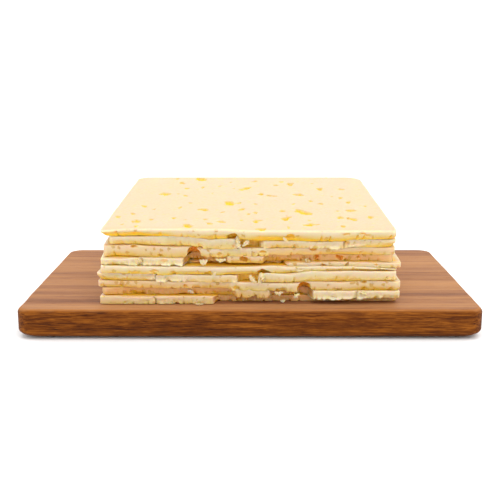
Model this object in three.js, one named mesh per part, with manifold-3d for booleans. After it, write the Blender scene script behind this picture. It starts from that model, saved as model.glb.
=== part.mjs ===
// Ten slices of semi-soft cheese with small irregular eyes, stacked on a wooden serving board.
//
// Units are millimetres. +X runs along the board, +Y points to its back and +Z is up.
// The origin is the middle of the board's underside.
import * as THREE from "three";
import { mergeVertices } from "three/addons/utils/BufferGeometryUtils.js";
import Module from "manifold-3d";

// Board: one plank with rounded corners and eased edges.
const BOARD_WIDTH = 186.5;
const BOARD_DEPTH = 110;
const BOARD_THICKNESS = 12.5;
const BOARD_CORNER_RADIUS = 5.5;
const BOARD_EDGE_RADIUS = 1.8;

// Slices: cut from one block, a little thicker and narrower at the back than at the front.
const SLICE_WIDTH = 118;
const SLICE_DEPTH = 102.8;
const SLICE_THICKNESS = 2.9;
const BACK_THICKENING = 0.7;
const BACK_NARROWING = 5.5;
const SLICE_CORNER_RADIUS = 1.5;

// How the stack sits: the board showing in front of it, and the air under each slice.
const FRONT_MARGIN = 6.2;
const AIR_GAP = 0.2;

// A recess in a front edge fades out this far back, so it never folds the outline over itself.
const BAY_REACH = 25;
// Each end of a recess takes this much of the edge to reach its full depth.
const BAY_SHOULDER = 0.9;

// The knife leaves an edge uneven by this much, in waves of three lengths.
const RAGGEDNESS = 0.3;
const RAGGED_WAVELENGTHS = [46, 19, 8];

// Spacing of the outline's points, on the ragged front edge and on the other three.
const FRONT_STEP = 1.5;
const SIDE_STEP = 5;

// Eyes open at a face: their depth into a slice is a share of its thickness, so they never cut through it.
const PIT_DEPTH_SHARE = 0.6;
const EDGE_EYE_HEIGHT_SHARE = 0.3;

// Recesses in the front edges of the upper five slices, from the top one down. Each is its start and end,
// as shares of the slice's half width, and its depth.
const FRONT_BAYS = [
  [],
  [[-0.1, 0.06, 7], [0.61, 0.65, 1.6]],
  [[-0.42, -0.33, 6]],
  [[-0.33, -0.13, 4], [0.11, 1.2, 4.2]],
  [[-1.2, 0.24, 4.5], [0.64, 0.68, 1.4]],
];

// Eyes in the front edges of the same five: place as a share of the half width, half width and reach.
const EDGE_EYES = [
  [[-0.1, 1.8, 2.2], [0.29, 1.6, 1.5]],
  [[-0.3, 0.7, 1]],
  [[-0.79, 0.9, 1.5], [-0.62, 1.4, 1.2], [0.1, 1.3, 1.6], [0.45, 1.2, 1.2]],
  [[-0.73, 1, 1.6], [-0.02, 1.5, 2.4], [0.47, 1.3, 2], [0.63, 1.2, 1.6]],
  [[0.08, 1.1, 1.6], [0.5, 1, 1.2]],
];

// The slices from the board up. row is the row of the lists above. The lower five are turned over, so their
// front edges mirror those of the upper five. wider and thickness compare a slice with the named sizes, as a
// difference and a share. shift moves it sideways, inset sets its front edge back and twist turns it, in degrees.
const SLICES = [
  { row: 4, turned: true, wider: 3.6, thickness: 0.94, shift: -0.3, inset: 0.4, twist: 0.1 },
  { row: 3, turned: true, wider: 3.4, thickness: 1.03, shift: -0.3, inset: 0.2, twist: 0.3 },
  { row: 2, turned: true, wider: 5, thickness: 1.1, shift: 0.1, inset: 1, twist: -0.2 },
  { row: 1, turned: true, wider: 3.6, thickness: 1, shift: -1.1, inset: 0.6, twist: -0.1 },
  { row: 0, turned: true, wider: 2.4, thickness: 0.86, shift: -1.8, inset: 1.2, twist: 0.8 },
  { row: 4, turned: false, wider: 3, thickness: 0.8, shift: 0.4, inset: 1, twist: 0.2 },
  { row: 3, turned: false, wider: 0.4, thickness: 0.97, shift: -0.9, inset: 0.5, twist: -0.1 },
  { row: 2, turned: false, wider: 0, thickness: 1.2, shift: -0.7, inset: 1.2, twist: 0.25 },
  { row: 1, turned: false, wider: -2.6, thickness: 1, shift: 1.5, inset: 0.8, twist: -0.2 },
  { row: 0, turned: false, wider: 0, thickness: 1.1, shift: -0.7, inset: 0, twist: 0 },
];

// Eyes open on the top slice's upper face: place as shares of the half width and of the depth from the
// front, then size across and size to the back.
const TOP_EYES = [
  [-0.43, 0.92, 4.5, 4],
  [-0.6, 0.82, 3, 3.5],
  [-0.7, 0.58, 6, 3.2],
  [-0.03, 0.71, 3.2, 6],
  [0.36, 0.8, 3.2, 3.5],
  [0.19, 0.54, 5, 2.6],
  [0.41, 0.56, 4.2, 2.8],
  [-0.36, 0.31, 4.2, 3],
  [-0.15, 0.41, 4, 6.5],
  [-0.82, 0.12, 4, 2.6],
  [0.07, 0.12, 3, 4],
  [0.27, 0.17, 3, 5],
  [0.43, 0.25, 6.2, 4.5],
  [0.74, 0.16, 3, 4.2],
];

const wasm = await Module();
wasm.setup();

const CHEESE = new THREE.MeshStandardMaterial({ color: 0xf6e2a8, roughness: 0.45, metalness: 0 });
const WOOD = new THREE.MeshStandardMaterial({ color: 0x9a5f38, roughness: 0.55, metalness: 0 });

// A closed geometry as a solid that can be cut.
function solidOf(geometry) {
  const bare = geometry.clone();
  bare.deleteAttribute("normal");
  bare.deleteAttribute("uv");
  const merged = mergeVertices(bare);
  return new wasm.Manifold(
    new wasm.Mesh({
      numProp: 3,
      vertProperties: new Float32Array(merged.attributes.position.array),
      triVerts: new Uint32Array(merged.index.array),
    }),
  );
}

// A solid as a geometry again.
function geometryOf(solid) {
  const mesh = solid.getMesh();
  const geometry = new THREE.BufferGeometry();
  geometry.setAttribute("position", new THREE.BufferAttribute(mesh.vertProperties, 3));
  geometry.setIndex(new THREE.BufferAttribute(mesh.triVerts, 1));
  geometry.computeVertexNormals();
  return geometry;
}

// A rectangle with round corners, centred on the origin, counter-clockwise from its front left.
function roundedRectangle(width, depth, radius) {
  const x = width / 2;
  const y = depth / 2;
  const shape = new THREE.Shape();
  shape.moveTo(-x + radius, -y);
  shape.lineTo(x - radius, -y);
  shape.absarc(x - radius, -y + radius, radius, -Math.PI / 2, 0);
  shape.lineTo(x, y - radius);
  shape.absarc(x - radius, y - radius, radius, 0, Math.PI / 2);
  shape.lineTo(-x + radius, y);
  shape.absarc(-x + radius, y - radius, radius, Math.PI / 2, Math.PI);
  shape.lineTo(-x, -y + radius);
  shape.absarc(-x + radius, -y + radius, radius, Math.PI, 1.5 * Math.PI);
  return shape;
}

function makeBoard() {
  const flat = BOARD_THICKNESS - 2 * BOARD_EDGE_RADIUS;
  const outline = roundedRectangle(
    BOARD_WIDTH - 2 * BOARD_EDGE_RADIUS,
    BOARD_DEPTH - 2 * BOARD_EDGE_RADIUS,
    BOARD_CORNER_RADIUS - BOARD_EDGE_RADIUS,
  );
  const geometry = new THREE.ExtrudeGeometry(outline, {
    depth: flat,
    curveSegments: 8,
    bevelThickness: BOARD_EDGE_RADIUS,
    bevelSize: BOARD_EDGE_RADIUS,
    bevelSegments: 4,
  });
  const board = new THREE.Mesh(geometry, WOOD);
  board.name = "serving_board";
  board.position.z = BOARD_EDGE_RADIUS;
  return board;
}

// 0 below the first value, 1 above the second, and smooth between them.
const ramp = (x, from, to) => THREE.MathUtils.smoothstep(x, from, to);

// How far the front edge stands back at x: the deepest of the recesses there.
function bayDepth(x, bays, halfWidth) {
  const depths = bays.map(([from, to, depth]) => {
    const start = from * halfWidth;
    const end = to * halfWidth;
    const rise = ramp(x, start - BAY_SHOULDER / 2, start + BAY_SHOULDER / 2);
    const fall = ramp(x, end - BAY_SHOULDER / 2, end + BAY_SHOULDER / 2);
    return depth * rise * (1 - fall);
  });
  return Math.max(0, ...depths);
}

// A knife's unevenness along an edge, from 0 to twice the raggedness: the mean of sine waves of several
// lengths. The edge's number shifts them, so that no two edges match.
function unevenness(along, edgeNumber) {
  const waves = RAGGED_WAVELENGTHS.map((length, i) => {
    return Math.sin((2 * Math.PI * along) / length + (i + 1) * edgeNumber);
  });
  const mean = waves.reduce((sum, wave) => sum + wave, 0) / waves.length;
  return RAGGEDNESS * (1 + mean);
}

// A slice's outline: points along its four edges, pulled in by the knife's unevenness, in front by the bays
// and at the sides by the narrowing.
function sliceOutline(width, depth, bays, sliceNumber) {
  const x = width / 2 - SLICE_CORNER_RADIUS;
  const y = depth / 2 - SLICE_CORNER_RADIUS;
  const edges = [
    { from: [-x, -depth / 2], to: [x, -depth / 2], inward: [0, 1], step: FRONT_STEP },
    { from: [width / 2, -y], to: [width / 2, y], inward: [-1, 0], step: SIDE_STEP },
    { from: [x, depth / 2], to: [-x, depth / 2], inward: [0, -1], step: SIDE_STEP },
    { from: [-width / 2, y], to: [-width / 2, -y], inward: [1, 0], step: SIDE_STEP },
  ];
  return edges.flatMap(({ from, to, inward, step }, side) => {
    const start = new THREE.Vector2(...from);
    const run = new THREE.Vector2(...to).sub(start);
    const count = Math.round(run.length() / step);
    return Array.from({ length: count + 1 }, (_, i) => {
      const point = start.clone().addScaledVector(run, i / count);
      const along = (run.length() * i) / count;
      const pull = unevenness(along, edges.length * sliceNumber + side);
      point.addScaledVector(new THREE.Vector2(...inward), pull);
      const fromFront = point.y + depth / 2;
      const fade = Math.max(0, 1 - fromFront / BAY_REACH);
      point.y += bayDepth(point.x, bays, width / 2) * fade;
      point.x *= 1 - (BACK_NARROWING / width) * (fromFront / depth);
      return point;
    });
  });
}

const STACK_FRONT = -BOARD_DEPTH / 2 + FRONT_MARGIN;

// Height above the board of the top of the given number of slices, at the place y on the board.
function stackHeight(count, y) {
  const towardsBack = (y - STACK_FRONT) / SLICE_DEPTH;
  const shares = SLICES.slice(0, count).reduce((sum, { thickness }) => sum + thickness, 0);
  return count * AIR_GAP + shares * (SLICE_THICKNESS + BACK_THICKENING * towardsBack);
}

// An eye: a rounded pit with the given half sizes.
function eye(centre, halfSizes) {
  const geometry = new THREE.IcosahedronGeometry(1, 1);
  geometry.scale(...halfSizes);
  geometry.translate(...centre);
  return solidOf(geometry);
}

// The eyes that open in a slice's front edge.
function edgeEyes(eyes, width, depth, bays, middleHeight) {
  return eyes.map(([share, halfWidth, reach]) => {
    const x = (share * width) / 2;
    const y = -depth / 2 + RAGGEDNESS + bayDepth(x, bays, width / 2);
    return eye([x, y, middleHeight(y)], [halfWidth, reach, SLICE_THICKNESS * EDGE_EYE_HEIGHT_SHARE]);
  });
}

// The eyes that open on a slice's upper face.
function topEyes(width, depth, topHeight) {
  return TOP_EYES.map(([shareX, shareY, across, toBack]) => {
    const x = (shareX * width) / 2;
    const y = (shareY - 0.5) * depth;
    return eye([x, y, topHeight(y)], [across / 2, toBack / 2, SLICE_THICKNESS * PIT_DEPTH_SHARE]);
  });
}

const mirrored = (bays) => bays.map(([from, to, depth]) => [-to, -from, depth]);
const mirroredEyes = (eyes) => eyes.map(([share, ...sizes]) => [-share, ...sizes]);

function makeSlice({ row, turned, wider, shift, inset, twist }, index) {
  const width = SLICE_WIDTH + wider;
  const depth = SLICE_DEPTH - inset;
  const bays = turned ? mirrored(FRONT_BAYS[row]) : FRONT_BAYS[row];
  const eyes = turned ? mirroredEyes(EDGE_EYES[row]) : EDGE_EYES[row];
  const middle = STACK_FRONT + inset + depth / 2;

  // The blank is a unit thick, and its two faces then take the heights of the cuts below and above.
  const outline = new THREE.Shape(sliceOutline(width, depth, bays, index));
  const blank = new THREE.ExtrudeGeometry(outline, { depth: 1, bevelEnabled: false });
  const lower = (y) => AIR_GAP + stackHeight(index, y + middle);
  const upper = (y) => stackHeight(index + 1, y + middle);
  const place = blank.attributes.position;
  for (let i = 0; i < place.count; i++) {
    const y = place.getY(i);
    place.setZ(i, place.getZ(i) > 0.5 ? upper(y) : lower(y));
  }

  const isTop = index === SLICES.length - 1;
  const middleHeight = (y) => (lower(y) + upper(y)) / 2;
  const cutters = edgeEyes(eyes, width, depth, bays, middleHeight);
  if (isTop) cutters.push(...topEyes(width, depth, upper));
  const solid = cutters.reduce((body, cutter) => body.subtract(cutter), solidOf(blank));

  const slice = new THREE.Mesh(geometryOf(solid), CHEESE);
  slice.name = "slice_" + String(index + 1).padStart(2, "0");
  slice.position.set(shift, middle, 0);
  slice.rotation.z = THREE.MathUtils.degToRad(twist);
  return slice;
}

const stack = new THREE.Group();
stack.position.z = BOARD_THICKNESS;
stack.add(...SLICES.map(makeSlice));

const part = new THREE.Group();
part.add(makeBoard(), stack);

export default part;
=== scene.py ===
# %% [markdown]
# # Ten slices of cheese on a wooden board
#
# The object is a stack of ten thin slices of pale, semi-soft cheese, on a small serving board of oiled wood.
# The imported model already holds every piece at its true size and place. This script makes each piece again
# as a fine surface, with the crumbly cut edges, the eyes and the wood's grain that a solid for physics
# leaves out.
#
# It works in millimetres, and turns them into metres only when a mesh is made.

import math

import bpy
import numpy as np
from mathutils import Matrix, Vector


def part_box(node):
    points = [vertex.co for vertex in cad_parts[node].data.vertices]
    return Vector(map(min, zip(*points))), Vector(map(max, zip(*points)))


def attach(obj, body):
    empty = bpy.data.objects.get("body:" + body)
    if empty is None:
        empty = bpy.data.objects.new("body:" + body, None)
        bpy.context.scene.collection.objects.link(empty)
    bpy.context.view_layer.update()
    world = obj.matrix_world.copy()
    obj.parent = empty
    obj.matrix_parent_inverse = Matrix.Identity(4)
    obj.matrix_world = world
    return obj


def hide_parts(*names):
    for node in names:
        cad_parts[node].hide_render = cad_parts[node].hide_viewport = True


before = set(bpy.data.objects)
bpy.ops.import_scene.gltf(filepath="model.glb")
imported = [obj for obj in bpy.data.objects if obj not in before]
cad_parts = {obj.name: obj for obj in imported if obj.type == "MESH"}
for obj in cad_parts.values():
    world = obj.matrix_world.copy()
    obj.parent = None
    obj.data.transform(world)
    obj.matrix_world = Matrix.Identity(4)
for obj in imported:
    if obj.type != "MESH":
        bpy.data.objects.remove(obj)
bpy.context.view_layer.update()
MM = 0.001

# %% [markdown]
# ## The camera
#
# The stack is seen straight from the front and a little from above. A long lens keeps the side edges of the
# stack and the board close to parallel. The camera looks along +Y and is only pitched down, so upright edges
# stay upright. Its place is given from the middle of the board's underside.

# %% Put the camera in place
CAMERA_BACK = 377.4
CAMERA_HEIGHT = 109.5
CAMERA_PITCH = 12.69
LENS_LENGTH = 61.2
SENSOR_WIDTH = 36.0

camera_data = bpy.data.cameras.new("camera")
camera_data.lens = LENS_LENGTH
camera_data.sensor_width = SENSOR_WIDTH
camera_data.clip_start = 0.01
camera = bpy.data.objects.new("camera", camera_data)
camera.location = (0, -CAMERA_BACK * MM, CAMERA_HEIGHT * MM)
camera.rotation_euler = (math.radians(90 - CAMERA_PITCH), 0, 0)
bpy.context.scene.collection.objects.link(camera)
bpy.context.scene.camera = camera
print("camera stands", CAMERA_BACK, "mm in front and", CAMERA_HEIGHT, "mm up")

# %% [markdown]
# ## From arrays to a mesh
#
# Every piece here is a stack of closed rings, like the hoops of a barrel: all rings have the same number of
# points, and neighbouring rings are joined by four-sided faces. A fan of triangles closes each end at a
# point. Working in rings keeps every shape a function of two numbers, the place round the edge and the place
# along the section, so numpy works out all points at once. Each ring runs counter-clockwise, as seen from
# beyond the last ring, and that makes every face point outwards.

# %% Join rings into a closed mesh
def ring_faces(rings, points):
    """Four-sided faces between rings: a point, its neighbour round the ring, and both on the next ring."""
    here = np.arange(points)
    beside = (here + 1) % points
    base = (np.arange(rings - 1) * points)[:, None]
    quads = np.stack([base + here, base + beside, base + points + beside, base + points + here], axis=-1)
    return quads.reshape(-1, 4)


def fan_faces(ring_start, points, pole, upward):
    """Triangles from a ring's neighbouring points to one pole."""
    here = ring_start + np.arange(points)
    beside = ring_start + (np.arange(points) + 1) % points
    ends = (here, beside) if upward else (beside, here)
    return np.stack([*ends, np.full(points, pole)], axis=-1)


def put_mesh(name, points_mm, faces, marks):
    """A mesh object made of points in millimetres, with faces and one value per point for each mark."""
    mesh = bpy.data.meshes.new(name)
    mesh.from_pydata((points_mm * MM).tolist(), [], faces)
    mesh.polygons.foreach_set("use_smooth", np.ones(len(mesh.polygons), bool))
    for mark, values in marks.items():
        attribute = mesh.attributes.new(mark, "FLOAT", "POINT")
        attribute.data.foreach_set("value", np.ascontiguousarray(values, np.float32))
    mesh.update()
    piece = bpy.data.objects.new(name, mesh)
    bpy.context.scene.collection.objects.link(piece)
    return piece


def close_rings(name, rings_mm, marks):
    """A closed piece from rings of points, shaped (ring, point, xyz), with a pole added at both ends."""
    rings, points, _ = rings_mm.shape
    poles = np.stack([rings_mm[0].mean(axis=0), rings_mm[-1].mean(axis=0)])
    all_points = np.concatenate([rings_mm.reshape(-1, 3), poles])
    below = rings * points
    faces = ring_faces(rings, points).tolist()
    faces += fan_faces(0, points, below, upward=False).tolist()
    faces += fan_faces((rings - 1) * points, points, below + 1, upward=True).tolist()
    ends = {mark: [values[0].mean(), values[-1].mean()] for mark, values in marks.items()}
    marks = {mark: np.append(values.ravel(), ends[mark]) for mark, values in marks.items()}
    return put_mesh(name, all_points, faces, marks)


# %% [markdown]
# ## Unevenness
#
# A knife never leaves a straight edge in soft cheese. Real noise would change with every run, so these
# helpers blend a seeded table of random numbers instead: smooth between its entries, and the same each time.

# %% Smooth seeded noise
NOISE_TABLE = (97, 89)


def noise(x, y, cell, seed):
    """Smooth random heights from -1 to 1: random numbers on a square lattice, blended by smooth steps."""
    rows, columns = NOISE_TABLE
    table = np.random.default_rng(seed).uniform(-1, 1, NOISE_TABLE)
    u, v = np.broadcast_arrays(np.asarray(x, float) / cell, np.asarray(y, float) / cell)
    i, j = np.floor(u).astype(int), np.floor(v).astype(int)
    s, t = u - i, v - j
    s, t = s * s * (3 - 2 * s), t * t * (3 - 2 * t)
    i, next_i, j, next_j = i % rows, (i + 1) % rows, j % columns, (j + 1) % columns
    left = table[i, j] * (1 - t) + table[i, next_j] * t
    right = table[next_i, j] * (1 - t) + table[next_i, next_j] * t
    return left * (1 - s) + right * s


def rough(x, y, cell, seed, layers=3):
    """Noise with finer and fainter noise on top: each layer has half the cell and half the height."""
    return sum(noise(x, y, cell / 2**n, seed + n) / 2**n for n in range(layers))


def smooth_step(x, start, end):
    """0 before start, 1 after end, and an S-shaped change between them."""
    t = np.clip((x - start) / (end - start), 0, 1)
    return t * t * (3 - 2 * t)


print("noise of one cell at three places:", noise([0.5, 1.5, 2.5], 0, 1, 1).round(2))

# %% [markdown]
# ## Reading the slices from the model
#
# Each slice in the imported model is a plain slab, turned a little on the stack. Its corners tell everything
# that is needed: the heights of its two faces at the front and at the back, its width at both ends, and how
# far it is turned.

# %% Measure a slice
CORNER_ZONE, END_ZONE = 8, 1


def measure(node):
    """A slice's place, sizes and turn, in millimetres and radians, from the corners of its solid."""
    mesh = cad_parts[node].data
    flat = np.zeros(len(mesh.vertices) * 3, np.float32)
    mesh.vertices.foreach_get("co", flat)
    x, y, z = (flat.reshape(-1, 3) / MM).T.astype(float)
    far_left, far_right = x < x.min() + CORNER_ZONE, x > x.max() - CORNER_ZONE
    turn = math.atan2(y[far_right].max() - y[far_left].max(), np.ptp(x))
    sway = abs(math.sin(turn)) * np.ptp(x) / 2
    return {
        "x": (x.min() + x.max()) / 2,
        "front": y.min() + sway,
        "back": y.max() - sway,
        "width": np.ptp(x) - sway,
        "narrowing": np.ptp(x) - np.ptp(x[y > y.max() - CORNER_ZONE]),
        "turn": turn,
        "low": (z.min(), z[y > y.max() - END_ZONE].min()),
        "high": (z[y < y.min() + END_ZONE].max(), z.max()),
    }


SLICE_NODES = sorted(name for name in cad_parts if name.startswith("slice"))
measured = {node: measure(node) for node in SLICE_NODES}
for node, m in measured.items():
    print(node, "width", round(m["width"], 1), "front", round(m["front"], 1), "turn", round(m["turn"], 4))

# %% [markdown]
# ## The outline of a slice
#
# Seen from above, a slice is a rectangle with softened corners. Each side runs from the middle of one
# corner's arc to the middle of the next, so four sides close the outline, and the corners can differ.

# %% Outline with soft corners
def side(length, start_radius, end_radius, shares):
    """One side of an outline: half an arc, a straight run and half an arc, at shares of its whole length.

    The angle turns evenly through the first half arc, stays at zero along the straight run and turns evenly
    through the last. Returns the distance along the side and the distance out from it.
    """
    quarter = math.pi / 4
    total = quarter * (start_radius + end_radius) + length - start_radius - end_radius
    s = shares * total
    lead, tail = quarter * start_radius, total - quarter * end_radius
    angle = np.minimum(s / start_radius - quarter, 0) + np.maximum((s - tail) / end_radius, 0)
    radius = np.where(s < lead, start_radius, end_radius)
    straight = start_radius + s - lead
    middle = np.where(s < lead, start_radius, np.where(s > tail, length - end_radius, straight))
    return middle + radius * np.sin(angle), radius * (np.cos(angle) - 1)


def outline(width, depth, radii, counts, crowding=0.0):
    """Points round a rectangle centred on the origin, counter-clockwise from its front left corner.

    counts gives the points on a long side and on a short side. crowding moves the points of the left and
    right sides towards the front: a share t of the side becomes t - crowding * t * (1 - t).
    """
    corners = np.array([(-width, -depth), (width, -depth), (width, depth), (-width, depth)]) / 2
    places = []
    for k in range(4):
        run = corners[(k + 1) % 4] - corners[k]
        length = np.hypot(*run)
        ahead = run / length
        out = np.array([ahead[1], -ahead[0]])
        t = np.arange(counts[k % 2]) / counts[k % 2]
        if k == 1:  # the right side runs to the back
            t = t - crowding * t * (1 - t)
        if k == 3:  # the left side runs to the front
            t = t + crowding * t * (1 - t)
        along, outward = side(length, radii[k], radii[(k + 1) % 4], t)
        places.append(corners[k] + along[:, None] * ahead + outward[:, None] * out)
    return np.concatenate(places)


print("a side of 118 mm runs between", side(118, 1.5, 1.5, np.array([0, 1]))[0].round(2))

# %% [markdown]
# ## The section of a slice
#
# Going once round the thickness of a slice, from the middle of its underside to the middle of its upper face,
# gives a section: the underside, a small round at the lower edge, the cut wall, a small round at the upper
# edge and the upper face. The points are dense near the edge, where light catches every crumb, and sparse
# towards the middle, where the next slice lies on top.

# %% Section from underside to upper face
LOW_RADIUS, HIGH_RADIUS = 0.8, 0.45
FACE_INSETS = np.array([30, 18, 11, 7, 4.6, 3, 2, 1.3, 0.8, 0.4, 0.15])
ARC = np.linspace(0, math.pi / 2, 5)
WALL_SHARES = np.linspace(0, 1, 12)[1:-1]


def section(low_radius, high_radius, with_top=True):
    """Inset from the outline, share of the thickness and extra height, for each ring of a slice.

    On a round, the inset is radius * (1 - sin) and the extra height radius * (1 - cos) of one angle.
    """
    low_inset, high_inset = low_radius * (1 - np.sin(ARC)), high_radius * (1 - np.sin(ARC[::-1]))
    low_rise, high_drop = low_radius * (1 - np.cos(ARC)), -high_radius * (1 - np.cos(ARC[::-1]))
    wall_lift = low_radius * (1 - WALL_SHARES) - high_radius * WALL_SHARES
    flat = np.zeros(len(FACE_INSETS))
    parts = [
        (low_radius + FACE_INSETS, flat, flat),
        (low_inset, np.zeros(len(ARC)), low_rise),
        (np.zeros(len(WALL_SHARES)), WALL_SHARES, wall_lift),
        (high_inset, np.ones(len(ARC)), high_drop),
    ]
    if with_top:
        parts.append((high_radius + FACE_INSETS[::-1], flat + 1, flat))
    return [np.concatenate(columns)[:, None] for columns in zip(*parts)]


section_insets = section(LOW_RADIUS, HIGH_RADIUS)[0]
print("a slice's section has", len(section_insets), "rings, from", section_insets[0, 0], "mm inside the edge")

# %% [markdown]
# ## How the front edges are torn
#
# This cheese is soft and has many eyes, so the knife drags it. Its front edge sags where the slice below has
# crumbled away, bits have broken off it, and eyes are cut open in it. Each row below describes one front
# edge in millimetres. `top` and `bottom` are how far its upper and lower edges have moved, `setback` is how
# far it is broken back, and `torn` is how ragged it is, from 0 to 1. Each is a list of knots, which read
# (distance from the slice's middle, value), with a smooth step from one knot to the next. An eye reads
# (distance, height above the slice's underside, half its width, half its height, reach into the slice).
# `corners` gives the radii of the two front corners. Where `golden` is set, the deepest bay gets a painted
# yellow glow inside in place of painted tan shade. A given list was chosen over chance, because the large bays
# and eyes give this stack its face, and chance only adds the crumb.

# %% The five kinds of front edge
FRONTS = [
    {
        "top": [(-60, 0), (-46, 0.7), (-12, 0.6), (2, 0), (60, 0)],
        "bottom": [
            (-59, 1.7), (-37, 1.5), (-19, 0.1), (-8, -0.6), (8, -0.8), (36, -1), (38.5, -0.7), (59, -0.3),
        ],
        "setback": [(-60, 0), (60, 0)],
        "eyes": [
            (-6.1, 0.2, 2.3, 1.5, 3.2), (16.3, 0.2, 1.9, 0.9, 1.4), (38.4, 1.4, 2.0, 0.5, 0.7),
            (46, 1.3, 2.4, 0.5, 0.7),
        ],
        "torn": [(-60, 0), (60, 0)],
        "corners": (1.3, 1.5),
    },
    {
        "top": [
            (-57, 0.4), (-27, 0.4), (-15, -0.9), (-5, -0.9), (3, -1.7), (36, -1.7), (38, -1.1), (57, -0.9),
        ],
        "bottom": [(-57, -0.1), (-27, -0.1), (-17, -1.5), (36, -1.6), (38, -0.8), (45, -0.6), (57, -0.1)],
        "setback": [
            (-58, 0.7), (-6.4, 0.6), (-4.8, 4.6), (2.4, 4.6), (4.2, 0.9), (36.0, 0.9), (36.5, 2.4), (37, 1.2),
            (58, 0.9),
        ],
        "eyes": [(-6.5, -0.6, 1.1, 0.6, 1), (37.5, 0.5, 0.8, 0.5, 0.8)],
        "torn": [(-58, 0.3), (-9, 0.3), (-6, 1), (5, 1), (8, 0.2), (36, 1), (46, 0.5), (58, 0.1)],
        "corners": (1.2, 2),
        "golden": True,
    },
    {
        "top": [(-60, -0.3), (-47, -0.3), (-39, -0.8), (-25, -0.8), (-18, -1.6), (60, -1.6)],
        "bottom": [
            (-60, -1.4), (-47, -1.4), (-39, -1.8), (-25, -1.8), (-18, -2.1), (6.6, -2.1), (9, -1.1),
            (60, -1.1),
        ],
        "setback": [(-60, 1.3), (-20, 1.3), (-17, 1.0), (6, 1.0), (9, 1.6), (60, 1.6)],
        "eyes": [
            (-22.3, -1.9, 3.1, 4.8, 6), (-46.2, 2.7, 1.0, 0.6, 1.6), (-35.8, -0.6, 1.2, 0.7, 1.2),
            (5.4, 0.2, 1.1, 0.7, 1.2), (26.1, 1.1, 1.6, 0.6, 1.2), (-12, -0.5, 1.4, 0.9, 1.0),
            (44.3, 0.3, 0.6, 0.4, 0.8),
        ],
        "torn": [(-60, 0.1), (-26, 0.2), (-22, 0.9), (-17, 0.3), (60, 0.2)],
        "corners": (1.8, 1.8),
    },
    {
        "top": [(-60, -1.7), (-24, -1.7), (-18, -1.4), (-8, -1.3), (6.6, -1.3), (9, -0.9), (60, -0.9)],
        "bottom": [
            (-60, -1.7), (-44, -1.7), (-25, -1.8), (-23, -1), (-9, -1), (-7, -1.4), (6.6, -1.4), (8, -1),
            (60, -1),
        ],
        "setback": [
            (-60, 0.5), (-43.8, 0.5), (-42.6, 1.8), (-41.4, 0.5), (-25.6, 0.5), (-24, 7.5), (-18.6, 7.5),
            (-16.6, 5), (-9.4, 5), (-7.4, 1.6), (5.8, 1.6), (7.8, 4.4), (48, 4.4), (60, 2.2),
        ],
        "eyes": [
            (-1.3, 0.2, 1.7, 1.2, 3.2), (28, 0.6, 1.5, 0.9, 1.8), (37.2, 0.6, 1.4, 0.9, 1.6),
            (44.7, 0.7, 0.9, 0.6, 1.2), (-33, 0.3, 1.3, 0.7, 0.6),
        ],
        "torn": [(-60, 0.5), (-46, 0.8), (-26, 1), (-23, 0.6), (-9, 0.3), (6, 0.2), (8, 0.3), (60, 0.2)],
        "corners": (1.2, 2),
    },
    {
        "top": [(-60, -1.65), (11, -1.65), (15, -0.8), (60, -0.8)],
        "bottom": [(-60, 0.7), (10, 0.7), (15, -1.2), (60, -1.2)],
        "setback": [(-60, 6), (12.5, 6), (14.8, 1.3), (37.5, 1.3), (38.1, 2.6), (38.7, 1.3), (60, 1.3)],
        "eyes": [
            (13.2, -0.2, 1.3, 0.9, 1.8), (29.2, -0.1, 1.1, 0.8, 1.4), (4.6, 0.8, 1.2, 0.6, 1.2),
            (50, 0.5, 0.6, 0.4, 0.7),
        ],
        "torn": [(-60, 0.5), (12, 0.8), (16, 0.4), (36, 0.6), (40, 0.6), (60, 0.2)],
        "corners": (1.5, 1.2),
    },
]

# From the board up, each slice takes a row of FRONTS. The lower five lie the other way up, so their rows are
# mirrored, and their left and right ends ride higher or lower on the stack by the two lifts.
ROWS_UPWARDS = (4, 3, 2, 1, 0)
TURNED_LIFTS = ((1.3, 0.9), (1.6, 1.0), (1.8, 0.2), (1.5, 0.7), (1.0, -0.7))
LAYERS = [{"row": row, "turned": True, "lifts": lifts} for row, lifts in zip(ROWS_UPWARDS, TURNED_LIFTS)]
LAYERS += [{"row": row, "turned": False, "lifts": (0, 0)} for row in ROWS_UPWARDS]
print(len(LAYERS), "slices, with", sum(len(front["eyes"]) for front in FRONTS), "kinds of edge eye")


# %% Read a value along a front edge
def along_edge(x, knots):
    """The knots' value at each x: between two knots it follows a smooth step from one value to the other."""
    places, values = np.array(knots, float).T
    k = np.clip(np.searchsorted(places, x) - 1, 0, len(places) - 2)
    t = smooth_step(x, places[k], places[k + 1])
    return values[k] + t * (values[k + 1] - values[k])


KNOT_ROWS = ("top", "bottom", "setback", "torn")


def turned_over(front):
    """The same front edge from its other side: every place changes its sign, and every row its order."""
    mirrored = {key: [(-x, value) for x, value in front[key]][::-1] for key in KNOT_ROWS}
    eyes = [(-x, *sizes) for x, *sizes in front["eyes"]]
    return {**front, **mirrored, "eyes": eyes, "corners": front["corners"][::-1]}


print("the deepest setback of each kind:", [max(value for _, value in front["setback"]) for front in FRONTS])


# %% [markdown]
# ## Faces that lie on each other
#
# Soft slices touch over their whole face, and part only at the edge. So the height of a face is a function of
# the place alone, and a slice can ask where the face below it is and settle on that. Each face rises evenly
# from front to back, and near the front edge it also follows that edge's sag.

# %% Heights of a slice's two faces
SAG_REACH = 10
LIP_DROP, LIP_REACH = 0.5, 2.2


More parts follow.
